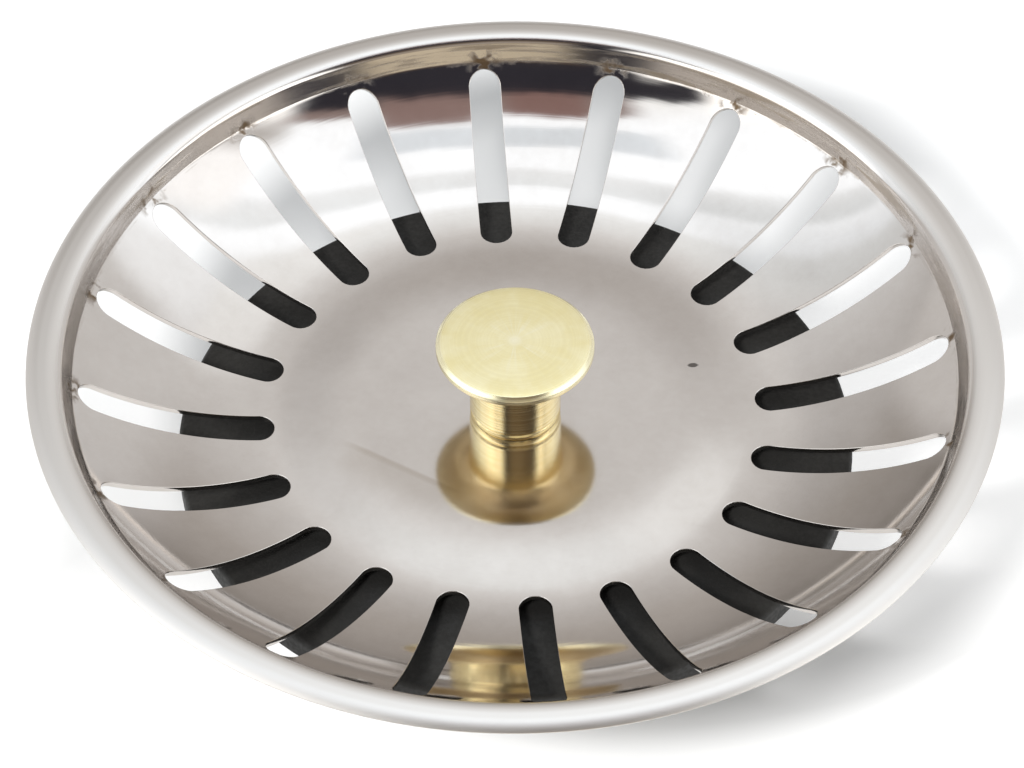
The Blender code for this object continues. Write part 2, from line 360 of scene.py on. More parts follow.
basket = {
    "rimRadius": 40.0 * mm,
    "sheet": 0.5 * mm,
    "floorTop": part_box("strainer_basket")[1].z - 8.06 * mm,
    "dishRadius": 12.6 * mm,
    "dishDepth": 0.15 * mm,
    "waveRadius": 22.0 * mm,
    "waveHeight": 0.70 * mm,
    "floorRadius": 19.16 * mm,
    "mouthRadius": 36.3 * mm,
    "wallRise": 6.18 * mm,
    "stepHeight": 1.7 * mm,
    "shoulderFoot": (36.97 * mm, -0.37 * mm),  # radius, and height from the rim's plane
    "lipRadius": 2.0 * mm,
    "lipAngle": math.radians(47),
    "slotCount": 20,
    "slotWidth": 2.7 * mm,
    "slotInner": 20.0 * mm,
    "slotOuter": 35.8 * mm,
    "firstSlotAngle": math.radians(94.2),
    "sectorSteps": 12,
    "slotSideSteps": 34,
    "slotRings": 4,
    "sectorInner": 19.0 * mm,
    "sectorOuter": 36.1 * mm,
    "edgeRounding": 0.05 * mm,
    "footRounding": 0.3 * mm,
    "floorSteps": 48,
    "shoulderSlope": math.radians(61),
    # radius, slope at the end in degrees, and steps
    "shoulderBends": ((1.0 * mm, 10, 9), (2.2 * mm, 0, 4), (3.5 * mm, -7, 3)),
    "lipSteps": 12,
    "dieMargin": 0.1 * mm,
    "dieRings": 56,
    "dieSegments": 480,
}
wallArc = (basket["mouthRadius"] - basket["floorRadius"]) ** 2 + basket["wallRise"] ** 2
wallArc /= 2 * basket["wallRise"]  # radius of the wall's arc


def sheetHeight(radius):
    # upper side of the sheet above the floor: dish under the knob, soft wave, floor, arc of the wall
    b = basket
    run = max(0, radius - b["floorRadius"])
    wall = wallArc - math.sqrt(wallArc * wallArc - run * run)
    share = max(0, min(1, (radius - b["dishRadius"]) / (b["waveRadius"] - b["dishRadius"])))
    wave = b["waveHeight"] * (0.5 + 0.5 * math.cos(math.pi * share))
    dish = b["dishDepth"] * max(0, 1 - (radius / b["dishRadius"]) ** 2) ** 1.5
    return wall + wave - dish


def sheetProfile(start, end, steps):
    # (radius, height) points of the sheet's upper side
    radii = [start + (end - start) * i / steps for i in range(steps + 1)]
    return [(radius, basket["floorTop"] + sheetHeight(radius)) for radius in radii]


def makeHubAndFloor(segments):
    profile = sheetProfile(boreRadius, basket["sectorInner"], basket["floorSteps"])
    return turnProfile("basketFloor", profile, segments)


def makeRim(segments):
    # step, rounded shoulder, a band that falls gently outwards, and the lip turned down
    b = basket
    wallTop = b["floorTop"] + b["wallRise"]
    radius, height = b["shoulderFoot"][0], wallTop + b["stepHeight"] + b["shoulderFoot"][1]
    corners = [(b["sectorOuter"], b["floorTop"] + sheetHeight(b["sectorOuter"]), 0),
               (b["mouthRadius"], wallTop, b["footRounding"]), (radius, height, 0)]
    profile = rounded(corners)[:-1]
    slope = b["shoulderSlope"]
    for bend, end, steps in b["shoulderBends"]:
        target = math.radians(end)
        for i in range(steps):
            profile.append((radius, height))
            turned = (slope - target) / (steps - i)
            middle = slope - turned / 2
            radius += bend * turned * math.cos(middle)
            height += bend * turned * math.sin(middle)
            slope -= turned
    profile.append((radius, height))
    first, last, bend = math.pi / 2 + slope, b["lipAngle"], b["lipRadius"]
    centre = b["rimRadius"] - bend * math.cos(last)
    start = centre + bend * math.cos(first)
    centreHeight = height + (start - radius) * math.tan(slope) - bend * math.sin(first)
    for i in range(b["lipSteps"] + 1):
        angle = first + (last - first) * i / b["lipSteps"]
        profile.append((centre + bend * math.cos(angle), centreHeight + bend * math.sin(angle)))
    return turnProfile("basketRim", profile, segments)


def makeSector():
    # one slot and the sheet round it, flat, along +Y; slot and outline have equal numbers of edges
    b = basket
    steps = b["sectorSteps"]
    half = math.pi / b["slotCount"]
    endCount = 2 * (steps + 1)
    endRadius = b["slotWidth"] / 2 / math.cos(math.pi / endCount)
    innerCentre = b["slotInner"] + b["slotWidth"] / 2
    outerCentre = b["slotOuter"] - b["slotWidth"] / 2
    bpy.ops.object.select_all(action="DESELECT")
    bpy.ops.mesh.primitive_circle_add(vertices=endCount, radius=endRadius, location=(0, innerCentre, 0))
    slotLoop = bpy.context.object
    bakePlace(slotLoop)
    pickPart(slotLoop, "VERT", lambda at: at.y > innerCentre)
    bpy.ops.transform.translate(value=(0, outerCentre - innerCentre, 0))
    stopEditing()
    pickPart(slotLoop, "EDGE", lambda at: abs(at.y - (innerCentre + outerCentre) / 2) < mm)
    bpy.ops.mesh.subdivide(number_cuts=b["slotSideSteps"] - 1)
    stopEditing()
    arcs = []
    for radius in (b["sectorInner"], b["sectorOuter"]):
        bpy.ops.object.select_all(action="DESELECT")
        bpy.ops.mesh.primitive_circle_add(vertices=steps * b["slotCount"], radius=radius)
        arc = bpy.context.object
        pickPart(arc, "VERT", lambda at: abs(math.atan2(at.x, at.y)) > half + 0.001)
        bpy.ops.mesh.delete(type="VERT")
        stopEditing()
        arcs.append(arc)
    pickOnly(*arcs)
    bpy.ops.object.join()
    outline = bpy.context.object
    for side in (-1, 1):
        pickPart(outline, "VERT", lambda at: abs(math.atan2(at.x, at.y) - side * half) < 0.001)
        bpy.ops.mesh.edge_face_add()
        stopEditing()
    sideMiddle = (b["sectorInner"] + b["sectorOuter"]) / 2
    pickPart(outline, "EDGE", lambda at: abs(at.length - sideMiddle) < mm)
    bpy.ops.mesh.subdivide(number_cuts=b["slotSideSteps"] - 1)
    stopEditing()
    pickOnly(outline, slotLoop)
    bpy.ops.object.join()
    sector = bpy.context.object
    startEditing(sector, "EDGE")
    bpy.ops.mesh.bridge_edge_loops(number_cuts=b["slotRings"], interpolation="LINEAR")
    faceOutwards()
    sector.name = "basketSector"
    return sector


def makeDie():
    # fine surface of the wall alone, which the flat sheet is pressed onto
    b = basket
    profile = sheetProfile(b["sectorInner"] - b["dieMargin"], b["sectorOuter"] + b["dieMargin"], b["dieRings"])
    return turnProfile("basketDie", profile, b["dieSegments"])


def makeBasket():
    b = basket
    segments = b["sectorSteps"] * b["slotCount"]
    sector = makeSector()
    sectors = [sector]
    for i in range(1, b["slotCount"]):
        copy = copyOf(sector)
        copy.rotation_euler.z = 2 * math.pi * i / b["slotCount"]
        sectors.append(copy)
    pickOnly(*sectors)
    bpy.ops.object.join()
    wall = bpy.context.object
    bakePlace(wall)
    startEditing(wall)
    bpy.ops.mesh.remove_doubles(threshold=mergeGap)
    stopEditing()
    die = makeDie()
    press = wall.modifiers.new("Press", "SHRINKWRAP")
    press.target = die
    press.wrap_method = "PROJECT"
    press.use_project_z = True
    press.use_positive_direction = True
    press.use_negative_direction = True
    applyAll(wall)
    bpy.data.objects.remove(die, do_unlink=True)
    pickOnly(makeHubAndFloor(segments), wall, makeRim(segments))
    bpy.ops.object.join()
    piece = bpy.context.object
    nameAs(piece, "strainerBasket")
    startEditing(piece)
    bpy.ops.mesh.remove_doubles(threshold=8 * mergeGap)
    bpy.ops.mesh.normals_make_consistent(inside=False)
    turned = -(b["firstSlotAngle"] - math.pi / 2)
    bpy.ops.transform.rotate(value=turned, orient_axis="Z", center_override=(0, 0, 0))
    stopEditing()
    faceUp(piece)
    thickness = piece.modifiers.new("Sheet", "SOLIDIFY")
    thickness.thickness = b["sheet"]
    thickness.offset = -1
    thickness.use_even_offset = True
    applyAll(piece)
    breakEdges(piece, b["edgeRounding"], 2, 50)
    smoothFaces(piece, 50)
    source = makeDie()
    faceUp(source)
    borrowNormals(piece, source, lambda at: b["sectorInner"] < at.xy.length < b["sectorOuter"]
                  and abs(at.z - b["floorTop"] - sheetHeight(at.xy.length)) < 6 * micron)
    return piece


steelLook = {
    "dark": (0.545, 0.508, 0.478, 1),
    "pale": (0.60, 0.563, 0.533, 1),
    "grain": (0.72, 0.70, 0.68, 1),
    "rim": (0.665, 0.635, 0.605, 1),
    # dark streaks along the step: grime and painted shade
    "stepGrimeAndShade": (0.20, 0.145, 0.085, 1),
    "specks": (0.12, 0.08, 0.045, 1),
    "pit": (0.05, 0.04, 0.035, 1),
    # painted reflection of something dark, on the floor left of the knob
    "paintedReflection": (0.36, 0.31, 0.25, 1),
    "pitPlace": (14.9 * mm, 5.0 * mm),
    "pitSquash": 0.55,
    "pitSlant": 0.3,
    "pitRadii": (0.28 * mm, 0.16 * mm),
    # where the painted reflection lies on the floor
    "paintedReflectionAlong": (0.857, -0.515),
    "paintedReflectionAcross": (0.515, 0.857),
    "paintedReflectionAway": 10.1 * mm,
    "floorRoughness": (0.085, 0.105),
    # what each field adds to the roughness
    "wallRough": -0.03,
    "ringsRough": 0.02,
    "rimRough": 0.24,
    "lipRough": 0.10,
    "stepRough": 0.11,
    "grimeRough": 0.25,
}


def steelFinish():
    # warm grey sheet: satin rim, mirror wall, clouded floor, dark streaks along the step that are grime and
    # painted shade, specks, a pit, and a painted dark reflection on the floor
    finish, tree, shader = newFinish("pressedSteel")
    place, x, y = placeOf(tree)[:3]
    radius, angle = lengthOf(tree, x, y), calc(tree, "ARCTAN2", y, x)
    b, look = basket, steelLook
    cloud = band(tree, noise(tree, place, 95, 5, 0.6), 0.30, 0.70)
    fine = noise(tree, place, 900, 4, 0.65)
    rings = noise(tree, None, 3800, 3, 0.6, flat=radius)
    colour = blendColour(tree, cloud, look["dark"], look["pale"])
    colour = blendColour(tree, band(tree, fine, 0.25, 0.75, 0, 0.12), colour, look["grain"])
    rim = band(tree, radius, 37.0 * mm, 37.5 * mm)
    colour = blendColour(tree, rim, colour, look["rim"])

    # dark streaks drawn out along the step, partly grime and partly painted shade, stronger on the far side;
    # and brown specks round the outer ends of the slots
    streaks = noise(tree, stretched(tree, (x, y, radius), (90, 90, 3200)), 1.0, 4, 0.6)
    ragged = noise(tree, place, 620, 5, 0.7)
    near = plus(tree, radius, times(tree, minus(tree, ragged, 0.5), 1.1 * mm))
    onStep = band(tree, near, 36.05 * mm, 36.35 * mm)
    onStep = times(tree, onStep, band(tree, radius, 37.1 * mm, 36.9 * mm))
    farSideGrimeAndShade = band(tree, calc(tree, "SINE", angle), 0.1, 0.8, 0.25, 0.7)
    marks = times(tree, onStep, times(tree, band(tree, streaks, 0.45, 0.62), farSideGrimeAndShade))
    turns = times(tree, minus(tree, angle, b["firstSlotAngle"]), b["slotCount"] / 2 / math.pi)
    offSlot = calc(tree, "ABSOLUTE", minus(tree, turns, calc(tree, "ROUND", turns)))
    atSlot = times(tree, band(tree, offSlot, 0.16, 0.04), band(tree, near, 35.6 * mm, 35.9 * mm))
    atSlot = times(tree, atSlot, band(tree, near, 36.8 * mm, 36.4 * mm))
    specks = times(tree, atSlot, band(tree, noise(tree, place, 950, 2, 0.5), 0.44, 0.60))
    # the step streaks darken the colour: grime and painted shade
    colour = blendColour(tree, marks, colour, look["stepGrimeAndShade"])
    colour = blendColour(tree, specks, colour, look["specks"])

    # the pit on the floor right of the knob
    pitX, pitY = look["pitPlace"]
    offX = times(tree, minus(tree, x, pitX), look["pitSquash"])
    offY = minus(tree, minus(tree, y, pitY), times(tree, offX, look["pitSlant"]))
    pitEdge = times(tree, minus(tree, fine, 0.5), 0.3 * mm)
    pit = band(tree, plus(tree, lengthOf(tree, offX, offY), pitEdge), *look["pitRadii"])
    colour = blendColour(tree, times(tree, pit, 0.9), colour, look["pit"])

    # painted reflection: a dark wedge on the floor left of the knob, with a sharper side towards the knob
    along, across = [plus(tree, times(tree, x, shareX), times(tree, y, shareY))
                     for shareX, shareY in (look["paintedReflectionAlong"], look["paintedReflectionAcross"])]
    across = plus(tree, across, look["paintedReflectionAway"])
    paintedReflection = band(tree, across, 0.1 * mm, -0.25 * mm)
    paintedReflection = times(tree, paintedReflection, band(tree, along, -11 * mm, -8 * mm))
    faint = times(tree, paintedReflection, band(tree, across, -4.5 * mm, -1.5 * mm, 0, 0.22))
    paintedReflection = times(tree, paintedReflection, band(tree, across, -1.2 * mm, -0.3 * mm, 0, 0.45))
    paintedReflection = larger(tree, faint, paintedReflection)
    paintedReflection = times(tree, paintedReflection, band(tree, along, 1.5 * mm, -1.0 * mm))
    colour = blendColour(tree, paintedReflection, colour, look["paintedReflection"])

    grime = larger(tree, larger(tree, marks, specks), pit)
    step = band(tree, radius, 36.1 * mm, 36.4 * mm)
    step = times(tree, step, band(tree, radius, 37.1 * mm, 36.8 * mm))
    fields = ((band(tree, radius, 19.5 * mm, 23 * mm), "wallRough"), (rings, "ringsRough"),
              (rim, "rimRough"), (band(tree, radius, 38.9 * mm, 39.6 * mm), "lipRough"),
              (step, "stepRough"), (grime, "grimeRough"))
    rough = band(tree, cloud, 0, 1, *look["floorRoughness"])
    for field, key in fields:
        rough = plus(tree, rough, times(tree, field, look[key]))
    feed(tree, rough, shader.inputs["Roughness"])
    feed(tree, minus(tree, 1.0, times(tree, grime, 0.4)), shader.inputs["Metallic"])
    feed(tree, colour, shader.inputs["Base Color"])
    relief = plus(tree, times(tree, rings, 0.1), times(tree, grime, ragged))
    bump(tree, shader, relief, 0.12, 0.00008)
    return finish


print("basket")
steel = steelFinish()
strainerBasket = makeBasket()
dress(strainerBasket, steel, "strainer_basket")
print("basket has", len(strainerBasket.data.polygons), "faces")


# Knob

knob = {
    "base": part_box("knob")[0].z,
    "height": 7.7 * mm,
    "headRadius": 6.5 * mm,
    "stemRadius": 3.75 * mm,
    "edgeChamfer": 0.3 * mm,
    "edgeHeight": 0.4 * mm,
    "dome": 0.12 * mm,
    "filletHeight": 2.0 * mm,
    "footRadius": 3.66 * mm,
    "footDrop": 0.51 * mm,
    "grooveHeight": 0.2 * mm,
    "grooveDepth": 0.12 * mm,
    "boreDepth": 4.5 * mm,
    "segments": 128,
    "domeSteps": 9,
    "filletSteps": 14,
    "grooveHalf": 0.22 * mm,
    "grooveFlat": 0.05 * mm,  # half of its bottom's width
}


def makeKnob():
    k = knob
    base, head, stem = k["base"], k["headRadius"], k["stemRadius"]
    edgeTop = base + k["height"] - k["dome"]
    edgeLow = edgeTop - k["edgeChamfer"] - k["edgeHeight"]
    profile = []
    for i in range(k["domeSteps"]):
        radius = (head - k["edgeChamfer"]) * i / k["domeSteps"]
        profile.append((max(radius, tiny), base + k["height"] - k["dome"] * (radius / head) ** 2))
    corners = [(*profile[-1], 0), (head - k["edgeChamfer"], edgeTop, 0.12 * mm),
               (head, edgeTop - k["edgeChamfer"], 0.15 * mm), (head, edgeLow + 0.1 * mm, 0)]
    profile = profile[:-1] + rounded(corners, 4)
    for i in range(k["filletSteps"] + 1):
        angle = math.pi / 2 * i / k["filletSteps"]
        radius = head - (head - stem) * math.sin(angle)
        profile.append((radius, edgeLow - k["filletHeight"] * (1 - math.cos(angle))))
    # a fine groove above the foot, which stands on the basket
    groove = base + k["grooveHeight"]
    sole = base - k["footDrop"]
    foot = [(stem, edgeLow - k["filletHeight"], 0), (stem, groove + k["grooveHalf"], 0.08 * mm),
            (stem - k["grooveDepth"], groove + k["grooveFlat"], 0.05 * mm),
            (stem - k["grooveDepth"], groove - k["grooveFlat"], 0.05 * mm),
            (stem, groove - k["grooveHalf"], 0.08 * mm), (k["footRadius"], sole + 0.15 * mm, 0.06 * mm),
            (k["footRadius"] - 0.06 * mm, sole, 0), (boreRadius, sole, 0)]
    profile = profile[:-1] + rounded(foot, 3)
    profile += [(boreRadius, base + k["boreDepth"]), (tiny, base + k["boreDepth"])]
    piece = turnProfile("turnedKnob", profile, k["segments"])
    smoothFaces(piece, 40)
    return piece


def brassFinish(name, colour, roughness):
    # turned brass with fine lines round it
    finish, tree, shader = newFinish(name, 1)
    place, x, y, height = placeOf(tree)
    radius = lengthOf(tree, x, y)
    cloud = band(tree, noise(tree, place, 260, 4, 0.6), 0.3, 0.7, 0, 0.12)
    rings = noise(tree, None, 4300, 3, 0.6, flat=minus(tree, radius, height))
    whole = blendColour(tree, cloud, (*colour, 1), (1, 0.97, 0.88, 1))
    darker = tuple(value * 0.86 for value in colour)
    whole = blendColour(tree, band(tree, rings, 0.60, 0.42), whole, (*darker, 1))
    feed(tree, whole, shader.inputs["Base Color"])
    feed(tree, band(tree, rings, 0.25, 0.75, roughness - 0.03, roughness + 0.04), shader.inputs["Roughness"])
    bump(tree, shader, rings, 0.12, 0.0001)
    return finish


def knobFinish():
    # deep gold stem with turning lines, rougher below the head and darker there by painted shade, and a pale
    # top with painted highlight strokes
    finish, tree, shader = newFinish("turnedBrass", 1)
    place, x, y, height = placeOf(tree)
    radius, angle = lengthOf(tree, x, y), calc(tree, "ARCTAN2", y, x)
    k = knob
    edge = k["base"] + k["height"] - 0.75 * mm
    topShare = band(tree, height, edge - 0.25 * mm, edge + 0.25 * mm)
    underShare = times(tree, band(tree, height, edge - 2.2 * mm, edge - 1.2 * mm),
                      minus(tree, 1.0, topShare))
    stemLines = noise(tree, None, 5200, 4, 0.7, flat=height)
    rings = noise(tree, None, 3600, 3, 0.6, flat=radius)
    cloud = noise(tree, place, 330, 4, 0.65)
    stem = blendColour(tree, band(tree, stemLines, 0.40, 0.62), (0.90, 0.73, 0.36, 1), (0.99, 0.87, 0.53, 1))
    # painted shade: the brass below the head is darker, where it faces down into the dish; it is also rougher
    # there
    under = blendColour(tree, band(tree, cloud, 0.3, 0.7), (0.78, 0.59, 0.30, 1), (0.88, 0.70, 0.41, 1))
    top = blendColour(tree, band(tree, cloud, 0.32, 0.68), (0.865, 0.775, 0.435, 1), (0.93, 0.86, 0.56, 1))
    # painted highlight: pale radial strokes near the centre stand in for the conical highlights of a turned
    # face; the top is also paler at the centre and near the edge
    spin = (calc(tree, "SINE", angle), calc(tree, "COSINE", angle), radius)
    highlightStrokes = noise(tree, stretched(tree, spin, (9, 9, 260)), 1.0, 3, 0.6)
    highlightStrokes = band(tree, highlightStrokes, 0.48, 0.68)
    pale = times(tree, highlightStrokes, band(tree, radius, 4.2 * mm, 0.3 * mm, 0.06, 0.38))
    pale = larger(tree, pale, band(tree, radius, 0.9 * mm, 0.15 * mm, 0, 0.45))
    edgeFrom, edgeTo = k["headRadius"] - 0.55 * mm, k["headRadius"] - 0.15 * mm
    pale = larger(tree, pale, band(tree, radius, edgeFrom, edgeTo, 0, 0.35))
    top = blendColour(tree, pale, top, (0.97, 0.94, 0.80, 1))
    top = blendColour(tree, band(tree, rings, 0.40, 0.62, 0.10, 0), top, (0.66, 0.57, 0.30, 1))
    whole = blendColour(tree, underShare, stem, under)
    feed(tree, blendColour(tree, topShare, whole, top), shader.inputs["Base Color"])
    rough = band(tree, stemLines, 0.3, 0.7, 0.15, 0.21)
    rough = plus(tree, rough, times(tree, underShare, 0.16))
    feed(tree, plus(tree, rough, times(tree, topShare, 0.10)), shader.inputs["Roughness"])
    onStem = minus(tree, 1.0, topShare)
    onTop = times(tree, times(tree, rings, topShare), 0.3)
    relief = plus(tree, times(tree, stemLines, onStem), onTop)
    bump(tree, shader, relief, 0.2, 0.00005)
    return finish


print("knob")
knobBrass = knobFinish()
turnedKnob = makeKnob()
dress(turnedKnob, knobBrass, "knob")


# Seal

seal = {
    "base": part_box("seal_disc")[0].z,
    "radius": 28.1 * mm,
    "lipRadius": 23.1 * mm,
    "hubRadius": 13.0 * mm,
    # heights above the base
    "hubTop": 3.9 * mm,
    "hubBottom": 0.5 * mm,
    "rimTop": 2.4 * mm,
    "hollowOuter": 0.7 * mm,
    "hollowInner": 2.2 * mm,
    "hollowRun": 1.8 * mm,  # how far the hollow's sides slope inwards
    "edgeRounding": 0.45 * mm,
    "hollowRounding": 0.8 * mm,
    "segments": 144,
}


def makeSeal():
    s = seal
    base, bore, hub, lip = s["base"], boreRadius, s["hubRadius"], s["lipRadius"]
    top, bottom, run = base + s["hubTop"], base + s["hubBottom"], s["hollowRun"]
    web = [(bore, top, 0), (hub, top, 1.2 * mm), (s["radius"], base + s["rimTop"], s["edgeRounding"]),
           (s["radius"], base, s["edgeRounding"]), (lip, base, 0.2 * mm),
           (lip - run, base + s["hollowOuter"], s["hollowRounding"]),
           (hub + run, base + s["hollowInner"], s["hollowRounding"]), (hub, bottom, 0.3 * mm),
           (bore, bottom, 0), (bore, top, 0)]
    piece = turnProfile("rubberSeal", rounded(web, 4), s["segments"])
    smoothFaces(piece, 45)
    return piece


def rubberFinish():
    finish, tree, shader = newFinish("mouldedRubber")
    place = placeOf(tree)[0]
    grain = noise(tree, place, 2600, 3)
    dust = band(tree, noise(tree, place, 180, 3), 0.35, 0.75)
    whole = blendColour(tree, dust, (0.015, 0.0146, 0.0138, 1), (0.029, 0.0282, 0.0265, 1))
    feed(tree, whole, shader.inputs["Base Color"])
    feed(tree, band(tree, grain, 0.3, 0.7, 0.55, 0.75), shader.inputs["Roughness"])
    shader.inputs["Specular IOR Level"].default_value = 0.3
    bump(tree, shader, grain, 0.4, 0.00008)
    return finish


print("seal")
rubber = rubberFinish()
rubberSeal = makeSeal()
dress(rubberSeal, rubber, "seal_disc")


# Finishes of the pieces below the seal

def plainSteelFinish(name, colour, roughness, grain=(400, 400, 400)):
    # grain: how close the marks lie along each axis
    finish, tree, shader = newFinish(name, 1)
    place = placeOf(tree)[0]
    stretch = tree.nodes.new("ShaderNodeMapping")
    stretch.inputs["Scale"].default_value = grain
    feed(tree, place, stretch.inputs["Vector"])
    mottle = noise(tree, stretch.outputs[0], 1, 3)
    stains = band(tree, noise(tree, place, 170, 4, 0.6), 0.45, 0.75, 0, 0.5)
    darker = tuple(value * 0.84 for value in colour)
    whole = blendColour(tree, band(tree, mottle, 0.3, 0.7), (*colour, 1), (*darker, 1))
    feed(tree, blendColour(tree, stains, whole, (colour[0] * 0.8, colour[1] * 0.74, colour[2] * 0.66, 1)),
         shader.inputs["Base Color"])
    rough = band(tree, mottle, 0.3, 0.7, roughness - 0.05, roughness + 0.05)
    feed(tree, plus(tree, rough, times(tree, stains, 0.12)), shader.inputs["Roughness"])
    bump(tree, shader, mottle, 0.1, 0.00005)
    return finish


postBrass = brassFinish("postBrass", (0.80, 0.64, 0.33), 0.26)
plateSteel = plainSteelFinish("stampedSteel", (0.58, 0.57, 0.55), 0.26, (120, 2400, 400))
boltSteel = plainSteelFinish("boltSteel", (0.52, 0.52, 0.50), 0.33)
ballSteel = plainSteelFinish("ballSteel", (0.62, 0.62, 0.61), 0.10)
springSteel = plainSteelFinish("springSteel", (0.50, 0.50, 0.50), 0.28)


# Lower clamp plate

plate = {
    "base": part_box("lower_clamp_plate")[0].z,
    "radius": 14.5 * mm,
    "thickness": 1.0 * mm,
    "beadInner": 8.6 * mm,
    "beadOuter": 11.6 * mm,
    "beadDepth": 0.15 * mm,
    "beadRun": 0.4 * mm,
    "beadRounding": 0.3 * mm,
    "boreChamfer": 0.15 * mm,
    "segments": 144,
}


def makePlate():
    # stamped disc: rolled lower edge, crisper upper edge, a shallow bead pressed in from below
    p = plate
    low, high, bore = p["base"], p["base"] + p["thickness"], boreRadius
    bead, soft, chamfer = low + p["beadDepth"], p["beadRounding"], p["boreChamfer"]
    corners = [(bore, high, 0), (p["radius"], high, 0.12 * mm), (p["radius"], low, 0.4 * mm),
               (p["beadOuter"], low, soft), (p["beadOuter"] - p["beadRun"], bead, soft),
               (p["beadInner"] + p["beadRun"], bead, soft), (p["beadInner"], low, soft),
               (bore + chamfer, low, 0), (bore, low + chamfer, 0), (bore, high, 0)]
    piece = turnProfile("clampPlate", rounded(corners, 4), p["segments"])
    smoothFaces(piece, 35)
    return piece


print("plate, washer and nut")
dress(makePlate(), plateSteel, "lower_clamp_plate")


# Split spring washer

washer = {
    "base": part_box("lock_washer")[0].z,
    "radius": 4.6 * mm,
    "thickness": 1.2 * mm,
    "splitWidth": 0.7 * mm,
    "splitTilt": 25,
    "rounding": 0.18 * mm,
    "segments": 96,
}


def makeWasher():
    # ring of rolled wire with a slanting split
    w = washer
    low, high = w["base"], w["base"] + w["thickness"]
    inner, outer, soft, middle = boreRadius, w["radius"], w["rounding"], (low + high) / 2
    corners = [(inner, middle, 0), (inner, high, soft), (outer, high, soft),
               (outer, low, soft), (inner, low, soft), (inner, middle, 0)]
    piece = turnProfile("splitWasher", rounded(corners, 4), w["segments"])
    place, tilt = ((inner + outer) / 2, 0, middle), (math.radians(w["splitTilt"]), 0, 0)
    bpy.ops.object.select_all(action="DESELECT")
    bpy.ops.mesh.primitive_cube_add(size=1, location=place, rotation=tilt)
    tool = bpy.context.object
    tool.scale = (outer - inner + mm, w["splitWidth"], 3 * w["thickness"])
    bakePlace(tool)
    cutWith(piece, tool)
    breakEdges(piece, 0.05 * mm, 2, 45)
    smoothFaces(piece, 40)
    return piece


dress(makeWasher(), boltSteel, "lock_washer")


# Nut

nut = {
    "base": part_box("clamp_nut")[0].z,
    "height": 4.0 * mm,
    "acrossFlats": 8.0 * mm,
    "chamfer": 0.5 * mm,
    "countersink": 0.35 * mm,
    "segments": 96,
}


def makeNut():
    # hexagonal bar, its corners turned off at 30 degrees on both faces, bored and countersunk
    n = nut
    low, high = n["base"], n["base"] + n["height"]
    corner = n["acrossFlats"] / 2 / math.cos(math.pi / 6)
    bpy.ops.object.select_all(action="DESELECT")
    bpy.ops.mesh.primitive_circle_add(vertices=6, radius=corner, fill_type="NGON", location=(0, 0, low))
    piece = bpy.context.object
    nameAs(piece, "hexNut")
    startEditing(piece, "FACE")
    bpy.ops.mesh.extrude_region_move(TRANSFORM_OT_translate={"value": (0, 0, n["height"])})
    faceOutwards()
    bakePlace(piece)
    slim, reach = corner - n["chamfer"], corner + mm
    fall = (reach - slim) / math.sqrt(3)
    form = [(tiny, high), (slim, high), (reach, high - fall), (reach, low + fall), (slim, low), (tiny, low)]
    cutWith(piece, turnProfile("nutForm", form, n["segments"]), "INTERSECT")
    bore, sink, over = boreRadius, n["countersink"], 0.5 * mm
    wide = bore + sink + over
    hole = [(tiny, high + over), (wide, high + over), (bore, high - sink),
            (bore, low + sink), (wide, low - over), (tiny, low - over)]
    cutWith(piece, turnProfile("nutBore", hole, n["segments"]))
    breakEdges(piece, 0.07 * mm, 2, 25)
    smoothFaces(piece, 30)
    return piece


dress(makeNut(), boltSteel, "clamp_nut")


# Catch post

post = {
    "length": 11.5 * mm,
    "radius": 5.0 * mm,
    "topChamfer": 0.3 * mm,
    "tipChamfer": 0.8 * mm,
    "boreFloor": 7.5 * mm,
    "crossHeight": 4.0 * mm,
    "crossRadius": 1.87 * mm,
    "mouthRadius": 1.63 * mm,
    "ballPlace": 4.15 * mm,
    "flatPlace": 4.0 * mm,
    "flatLength": 3.2 * mm,
    "countersink": 0.3 * mm,
    "segments": 144,
    "crossSegments": 64,
}


def makePost():
    # turned bar with a chamfered tip, a cross bore nipped in at its mouths, and two spanner flats at the top
    p = post
    radius, length, bore, chamfer = p["radius"], p["length"], boreRadius, p["topChamfer"]
    corners = [(tiny, p["boreFloor"], 0), (bore, p["boreFloor"], 0), (bore, length - p["countersink"], 0),
               (bore + p["countersink"], length, 0), (radius - chamfer, length, 0.1 * mm),
               (radius, length - chamfer, 0.1 * mm), (radius, p["tipChamfer"], 0.5 * mm),
               (radius - p["tipChamfer"], 0, 0.15 * mm), (tiny, 0, 0)]
    piece = turnProfile("catchPost", rounded(corners, 4), p["segments"])
    over, mouth, wide = radius + mm, p["mouthRadius"], p["crossRadius"]
    half = [(tiny, over), (mouth, over), (mouth, radius), (wide, p["ballPlace"])]
    whole = half + [(across, -place) for across, place in reversed(half)]
    cross = turnProfile("crossBore", whole, p["crossSegments"])
    cross.rotation_euler.y = math.pi / 2
    cross.location.z = p["crossHeight"]
    bakePlace(cross)
    cutWith(piece, cross)
    for side in (-1, 1):
        bpy.ops.object.select_all(action="DESELECT")
        height = p["length"] - p["flatLength"] / 2 + 0.5 * mm
        bpy.ops.mesh.primitive_cube_add(size=1, location=(0, side * (p["flatPlace"] + mm), height))
        tool = bpy.context.object
        tool.scale = (2 * over, 2 * mm, p["flatLength"] + mm)
        bakePlace(tool)
        cutWith(piece, tool)
    breakEdges(piece, 0.07 * mm, 2, 30)
    smoothFaces(piece, 30)
    return piece


print("post and balls")
dress(makePost(), postBrass, "catch_post")


# Catch balls: a cube divided finely and cast into a round, modelled once and copied

ball = {
    "radius": 1.75 * mm,
    "steps": 15,
}


